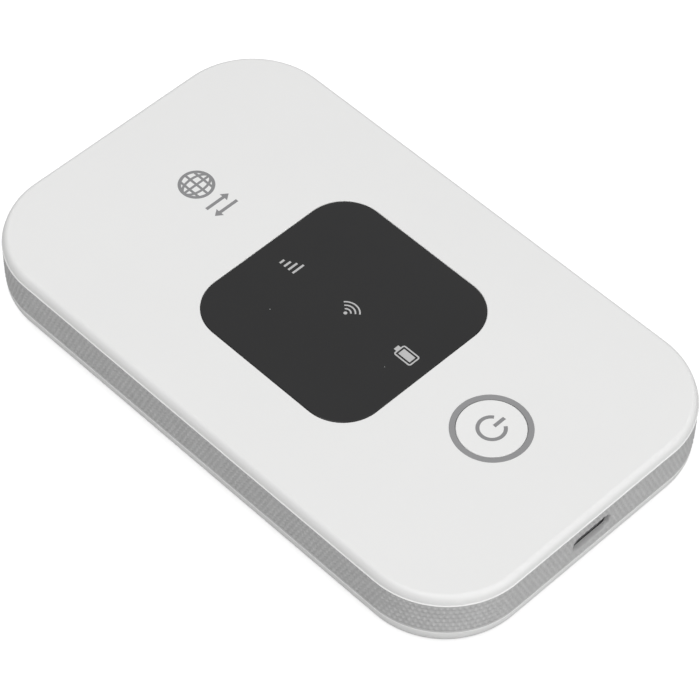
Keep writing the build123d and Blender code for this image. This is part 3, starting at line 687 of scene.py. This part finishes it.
work = bmesh.new()
for x, up in zip(faceMark["arrowX"], (1, -1)):
    y, half = faceMark["centre"][1], faceMark["arrowHalf"]
    shaft, head, neck = faceMark["shaft"] / 2, faceMark["head"], faceMark["neck"]
    arrow = [(x - shaft, y - up * half), (x + shaft, y - up * half), (x + shaft, y + up * (half - neck)),
             (x + head, y + up * (half - neck)), (x, y + up * half), (x - head, y + up * (half - neck)),
             (x - shaft, y + up * (half - neck))]
    prism(work, arrow, faceMark["low"], faceMark["high"])
newPiece("faceArrows", work, "housing", finish["print"])
print("face mark made")


def bezelProfile():
    # section of the grey ring round the key
    b = bezel
    outer, inner = b["outer"] - b["gap"], b["outer"] - b["wide"]
    return [(outer, b["bottom"]), (outer, b["top"] - b["edge"]), (outer - b["edge"], b["top"]),
            (inner + b["edge"], b["top"]), (inner, b["top"] - b["edge"]), (inner, b["bottom"])]


work = bmesh.new()
loft(work, [circleLoop(r, z, bezel["centre"], bezel["steps"]) for r, z in bezelProfile()], closed=True)
ring = newPiece("keyRing", work, "housing", finish["grey_ring"])
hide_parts("key_bezel")

work = bmesh.new()
keyProfile = [(key["nubRadius"], key["foot"]), (key["nubRadius"], key["flangeBottom"]),
              (key["flangeRadius"], key["flangeBottom"]), (key["flangeRadius"], key["flangeTop"]),
              (key["radius"], key["flangeTop"])]
for turn in quarterTurns(key["edgeSteps"]):
    keyProfile.append((key["radius"] - key["edgeRound"] * (1 - math.cos(turn)),
                       key["top"] - key["edgeRound"] * (1 - math.sin(turn))))
loft(work, [circleLoop(r, z, bezel["centre"], bezel["steps"]) for r, z in keyProfile])
cap = newPiece("powerKeyCap", work, "power_button", finish["white_key"])
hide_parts("power_key")

# power sign on the cap: an open ring and an upright stroke
symbol = {
    "radius": 1.95, "line": 0.56, "gap": 34, "steps": 64, "stroke": (0.5, 2.55),
    "low": key["top"] - 0.03, "high": key["top"] + 0.006,
}
work = bmesh.new()
cx, cy = bezel["centre"]
openRing = arc(bezel["centre"], symbol["radius"], 90 + symbol["gap"], 450 - symbol["gap"], symbol["steps"])
prism(work, ribbon(openRing, symbol["line"]), symbol["low"], symbol["high"])
half = symbol["line"] / 2
foot, head = symbol["stroke"]
prism(work, [(cx - half, cy + foot), (cx + half, cy + foot), (cx + half, cy + head), (cx - half, cy + head)],
      symbol["low"], symbol["high"])
newPiece("powerSymbol", work, "power_button", finish["print"])
print("power key made")


# side band: raised staggered dashes all the way round, and the port's mouth
portLow, portHigh = span("usb_receptacle")
receptacleHalfTall = 1.225
band = {
    "wall": 1.0, "rows": 6, "margin": 0.22, "dashPitch": 0.86, "around": 6, "up": 6, "relief": 0.2,
    "dashHalf": 0.36, "dashTall": 0.36, "dashFlatness": 0.7, "chamfer": 0.1, "smoothAngle": 60,
    "portHalf": 3.6, "portTall": 1.25, "portCorner": 1.0, "portSteps": 12, "portFlare": 0.14,
    "portCentre": ((portLow.y + portHigh.y) / 2, portLow.z + receptacleHalfTall),
    "portCut": (-3, 1), "plain": 0.35, "hair": 0.01,
}


def bandTrack(count):
    # even points on the case outline with their outward directions
    hx, hy, r = case["halfLength"] - case["corner"], case["halfWidth"] - case["corner"], case["corner"]
    bend = math.pi / 2 * r
    runs = [("line", (hx + r, -hy), (0, 1), 2 * hy, (1, 0)), ("turn", (hx, hy), 0, bend, None),
            ("line", (hx, hy + r), (-1, 0), 2 * hx, (0, 1)), ("turn", (-hx, hy), 90, bend, None),
            ("line", (-hx - r, hy), (0, -1), 2 * hy, (-1, 0)), ("turn", (-hx, -hy), 180, bend, None),
            ("line", (-hx, -hy - r), (1, 0), 2 * hx, (0, -1)), ("turn", (hx, -hy), 270, bend, None)]
    whole = sum(run[3] for run in runs)
    track = []
    for i in range(count):
        left = whole * i / count
        for kind, spot, way, reach, normal in runs:
            if left <= reach:
                break
            left -= reach
        if kind == "line":
            track.append((Vector((spot[0] + way[0] * left, spot[1] + way[1] * left)), Vector(normal)))
        else:
            turn = math.radians(way) + left / r
            out = Vector((math.cos(turn), math.sin(turn)))
            track.append((Vector(spot) + out * r, out))
    return whole, track


def dashHeight(u, v):
    # 1 at the middle of a dash, 0 between dashes; u counts columns and v counts rows
    a = (u + 0.5 * (math.floor(v) % 2)) % 1 - 0.5
    b = v % 1 - 0.5
    return max(0.0, 1 - (a / band["dashHalf"]) ** 2 - (b / band["dashTall"]) ** 2) ** band["dashFlatness"]


def plainNearPort(point, height):
    # 0 by the port's mouth, 1 where the dashes are at full height
    if point.x < case["halfLength"] - band["hair"]:
        return 1.0
    dy = max(0.0, abs(point.y - band["portCentre"][0]) - band["portHalf"])
    dz = max(0.0, abs(height - band["portCentre"][1]) - band["portTall"])
    return min(1.0, max(0.0, (math.hypot(dy, dz) - band["portFlare"]) / band["plain"]))


def buildBand(work):
    b = band
    whole, track = bandTrack(1)
    columns = round(whole / b["dashPitch"])
    whole, track = bandTrack(columns * b["around"])
    low, high = case["bandBottom"] + b["margin"], case["bandTop"] - b["margin"]
    loops = [[Vector((*(p - n * b["chamfer"]), case["bandBottom"])) for p, n in track],
             [Vector((*(p - n * b["relief"]), case["bandBottom"] + b["chamfer"])) for p, n in track]]
    steps = b["rows"] * b["up"]
    lastRow = b["rows"] - 0.001  # the top edge still belongs to the row below it
    for j in range(steps + 1):
        height = low + (high - low) * j / steps
        loop = []
        for i, (p, n) in enumerate(track):
            rise = dashHeight(i / b["around"], min(j / b["up"], lastRow)) * plainNearPort(p, height)
            loop.append(Vector((*(p - n * b["relief"] * (1 - rise)), height)))
        loops.append(loop)
    loops.append([Vector((*(p - n * b["relief"]), case["bandTop"] - b["chamfer"])) for p, n in track])
    loops.append([Vector((*(p - n * b["chamfer"]), case["bandTop"])) for p, n in track])
    loops.append([Vector((*(p - n * b["wall"]), case["bandTop"])) for p, n in track])
    loops.append([Vector((*(p - n * b["wall"]), case["bandBottom"])) for p, n in track])
    loft(work, loops, closed=True)


def portMouth(work):
    # cutter for the port's mouth, a little wider at the outside
    b = band
    x = case["halfLength"]
    inner, outer = b["portCut"]
    stations = [(x + inner, 0.0), (x - b["portFlare"] - b["relief"], 0.0), (x - b["relief"], b["portFlare"]),
                (x + outer, b["portFlare"])]
    loops = []
    for place, grow in stations:
        flat = roundedRectangle(b["portHalf"] + grow, b["portTall"] + grow, b["portCorner"] + grow,
                                b["portSteps"])
        loops.append([Vector((place, b["portCentre"][0] + y, b["portCentre"][1] + z)) for y, z in flat])
    loft(work, loops)


sideBand = carvedPiece("sideBand", buildBand, [toolFrom(portMouth)], "housing",
                       finish["grey_band"], angle=band["smoothAngle"], solver="MANIFOLD")
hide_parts("side_band")
print("side band made:", len(sideBand.data.polygons), "faces")


# back cover: rounded underside, snap tabs, ribs, prying notch and two fine grooves
coverTop = case["bandBottom"] - 0.1
cover = {
    "inset": 0.1, "roundAcross": 3.4, "roundUp": 3.6, "roundSteps": 18, "top": coverTop, "rim": 0.08,
    "wall": 1.6, "floor": 1.0, "cavityRound": 2.5, "cavitySteps": 8,
    "notchHalf": 5.0, "notchTall": 0.8, "notchCorner": 0.6, "notchSteps": 8, "notchCut": (-1.5, 3.0),
    "tabLength": 6.0, "tabWall": 0.8, "tabFoot": coverTop - 1.7, "tabTop": coverTop + 0.9, "tabInset": 2.0,
    "tabSoft": 0.12, "sideTabs": (-30, 0, 30), "endTabs": (-14, 14),
    "ribs": (-26, -13, 0, 13, 26), "ribHigh": 0.18, "ribWide": 0.5, "ribHalf": 23.5, "ribSoft": 0.06,
    "ribSunk": 0.1, "panelHalf": (20.0, 11.0), "panelCorner": 2.5, "panelSteps": 12, "panelDepth": 0.1,
    "panelWall": 0.45, "panelCut": -1.0, "groove": (coverTop - 1.5, coverTop - 1.3), "grooveInset": 0.45,
}


def addBlock(work, low, high, soft):
    flat = [(low[0], low[1]), (high[0], low[1]), (high[0], high[1]), (low[0], high[1])]
    prism(work, flat, low[2], high[2], soft)


def lineInset(height):
    # how far the rounded underside stands in from the case outline at this height
    c = cover
    up = 1 - height / c["roundUp"]
    return c["inset"] + c["roundAcross"] * (1 - math.sqrt(1 - up * up))


def buildCover(work):
    c = cover
    profile = []
    for turn in quarterTurns(c["roundSteps"]):
        point = (c["inset"] + c["roundAcross"] * (1 - math.sin(turn)), c["roundUp"] * (1 - math.cos(turn)))
        if profile and profile[-1][1] < c["groove"][0] < point[1]:
            profile += [(lineInset(c["groove"][0]), c["groove"][0]), (c["grooveInset"], c["groove"][0]),
                        (c["grooveInset"], c["groove"][1]), (lineInset(c["groove"][1]), c["groove"][1])]
        if not c["groove"][0] <= point[1] <= c["groove"][1]:
            profile.append(point)
    profile += [(c["inset"], c["top"] - c["rim"]), (c["inset"] + c["rim"], c["top"]),
                (c["wall"] - c["rim"], c["top"]), (c["wall"], c["top"] - c["rim"])]
    for turn in quarterTurns(c["cavitySteps"]):
        profile.append((c["wall"] + c["cavityRound"] * (1 - math.cos(turn)),
                        c["floor"] + c["cavityRound"] * (1 - math.sin(turn))))
    loft(work, [caseLoop(inset, height) for inset, height in profile])
    tabs = []
    half, deep = c["tabLength"] / 2, c["tabWall"] / 2
    for side in (-1, 1):
        y = side * (case["halfWidth"] - c["tabInset"])
        tabs += [((x - half, y - deep), (x + half, y + deep)) for x in c["sideTabs"]]
        x = side * (case["halfLength"] - c["tabInset"])
        tabs += [((x - deep, y - half), (x + deep, y + half)) for y in c["endTabs"]]
    for low, high in tabs:
        addBlock(work, (*low, c["tabFoot"]), (*high, c["tabTop"]), c["tabSoft"])
    for x in c["ribs"]:
        addBlock(work, (x - c["ribWide"] / 2, -c["ribHalf"], c["floor"] - c["ribSunk"]),
                 (x + c["ribWide"] / 2, c["ribHalf"], c["floor"] + c["ribHigh"]), c["ribSoft"])


def notchTool(work):
    # prying notch in the end away from the port
    c = cover
    x = -case["halfLength"]
    flat = roundedRectangle(c["notchHalf"], c["notchTall"], c["notchCorner"], c["notchSteps"])
    loft(work, [[Vector((x + reach, y, c["top"] + z)) for y, z in flat] for reach in c["notchCut"]])


def panelTool(work):
    # shallow groove that frames a plain panel in the middle of the underside
    c = cover
    loops = []
    for inset in (0.0, c["panelWall"]):
        loops.append(roundedRectangle(c["panelHalf"][0] - inset, c["panelHalf"][1] - inset,
                                      c["panelCorner"] - inset, c["panelSteps"]))
    ringPlate(work, loops[0], loops[1], c["panelCut"], c["panelDepth"])


coverPiece = carvedPiece("backCover", buildCover, [toolFrom(notchTool), toolFrom(panelTool)], "cover",
                         finish["white_shell"])
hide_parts("back_cover")
print("back cover made")


# floor and soft light, in metres
studio = {
    "floorHalf": 3.0, "floorSquares": 8, "floorHeight": -0.00002, "floorRough": 0.9, "floorDrift": 2,
    "floorTints": ((0.85, 0.85, 0.85), (0.84, 0.84, 0.84)), "bounce": (0.42, 0.42, 0.42, 1), "seenGlow": 0.45,
    "zenith": 0.76, "horizon": 0.3, "riseEnd": 0.45, "brightWay": (-0.45, 0.893, 0.0), "farSide": 0.8,
}


def makeFloorMaterial():
    material, tree, shader, place = startMaterial("paleFloor", studio["floorRough"])
    tint = useTints(tree, place, *studio["floorTints"], studio["floorDrift"])
    shader.inputs["Emission Color"].default_value = (1, 1, 1, 1)
    # the floor looks brighter than the light it gives back, which keeps its shadows pale
    seen = tree.nodes.new("ShaderNodeLightPath").outputs["Is Camera Ray"]
    blend = addNode(tree, "ShaderNodeMix", data_type="RGBA")
    blend.inputs["A"].default_value = studio["bounce"]
    tree.links.new(seen, blend.inputs["Factor"])
    tree.links.new(tint, blend.inputs["B"])
    tree.links.new(blend.outputs["Result"], shader.inputs["Base Color"])
    glow = addNode(tree, "ShaderNodeMapRange", {"To Min": 0.0, "To Max": studio["seenGlow"]})
    tree.links.new(seen, glow.inputs["Value"])
    tree.links.new(glow.outputs["Result"], shader.inputs["Emission Strength"])
    return material


work = bmesh.new()
squares = studio["floorSquares"]
bmesh.ops.create_grid(work, x_segments=squares, y_segments=squares, size=studio["floorHalf"] / mm)
floor = newPiece("floor", work, None, makeFloorMaterial())
floor.location.z = studio["floorHeight"]


def makeWorld():
    world = bpy.data.worlds.new("studio")
    bpy.context.scene.world = world
    world.use_nodes = True
    tree = world.node_tree
    back = tree.nodes["Background"]
    way = tree.nodes.new("ShaderNodeTexCoord").outputs["Generated"]
    split = tree.nodes.new("ShaderNodeSeparateXYZ")
    tree.links.new(way, split.inputs[0])
    rise = addNode(tree, "ShaderNodeMapRange", {
        "From Min": 0.0, "From Max": studio["riseEnd"], "To Min": studio["horizon"],
        "To Max": studio["zenith"]}, interpolation_type="SMOOTHSTEP")
    tree.links.new(split.outputs["Z"], rise.inputs["Value"])
    # the soft light is stronger from behind the left end of the case
    lean = addNode(tree, "ShaderNodeVectorMath", operation="DOT_PRODUCT")
    lean.inputs[1].default_value = studio["brightWay"]
    tree.links.new(way, lean.inputs[0])
    side = addNode(tree, "ShaderNodeMapRange", {
        "From Min": -1.0, "From Max": 1.0, "To Min": studio["farSide"], "To Max": 1.0})
    tree.links.new(lean.outputs["Value"], side.inputs["Value"])
    both = addNode(tree, "ShaderNodeMath", operation="MULTIPLY")
    tree.links.new(rise.outputs["Result"], both.inputs[0])
    tree.links.new(side.outputs["Result"], both.inputs[1])
    tree.links.new(both.outputs[0], back.inputs["Strength"])
    back.inputs["Color"].default_value = (1, 1, 1, 1)


makeWorld()
lamps = {  # metres and watts
    "overhead": {"place": (0.15, 0.1, 0.9), "size": 0.9, "power": 0.8},
    "front": {"place": (0.15, -0.6, 0.75), "size": 0.7, "power": 2.7},
    "right": {"place": (0.93, 0.03, 0.24), "size": 0.9, "power": 4.1},
}
for name, lamp in lamps.items():
    light = bpy.data.lights.new(name, "AREA")
    light.shape, light.size, light.energy = "SQUARE", lamp["size"], lamp["power"]
    holder = bpy.data.objects.new(name, light)
    holder.location = lamp["place"]
    holder.rotation_euler = (-Vector(lamp["place"])).to_track_quat("-Z", "Y").to_euler()
    bpy.context.scene.collection.objects.link(holder)

# the camera's place and its own three directions
frameWide = 700
view = {
    "place": (0.20003154, -0.20109391, 0.35479005), "right": (0.70097217, 0.71308704, 0.012037),
    "up": (-0.56080777, 0.540696, 0.62701075), "ahead": (-0.44060488, 0.44626753, -0.7789176),
    "lens": 162.307, "sensor": 36.0, "shift": (-0.5 / frameWide, 0.0), "clip": (0.01, 20.0),
}
lensData = bpy.data.cameras.new("camera")
lensData.lens, lensData.sensor_width = view["lens"], view["sensor"]
lensData.clip_start, lensData.clip_end = view["clip"]
lensData.shift_x, lensData.shift_y = view["shift"]
camera = bpy.data.objects.new("camera", lensData)
turn = Matrix((view["right"], view["up"], [-part for part in view["ahead"]])).transposed()
camera.matrix_world = Matrix.Translation(view["place"]) @ turn.to_4x4()
bpy.context.scene.collection.objects.link(camera)
bpy.context.scene.camera = camera
bpy.context.scene.view_settings.view_transform = "Standard"
print("studio made")
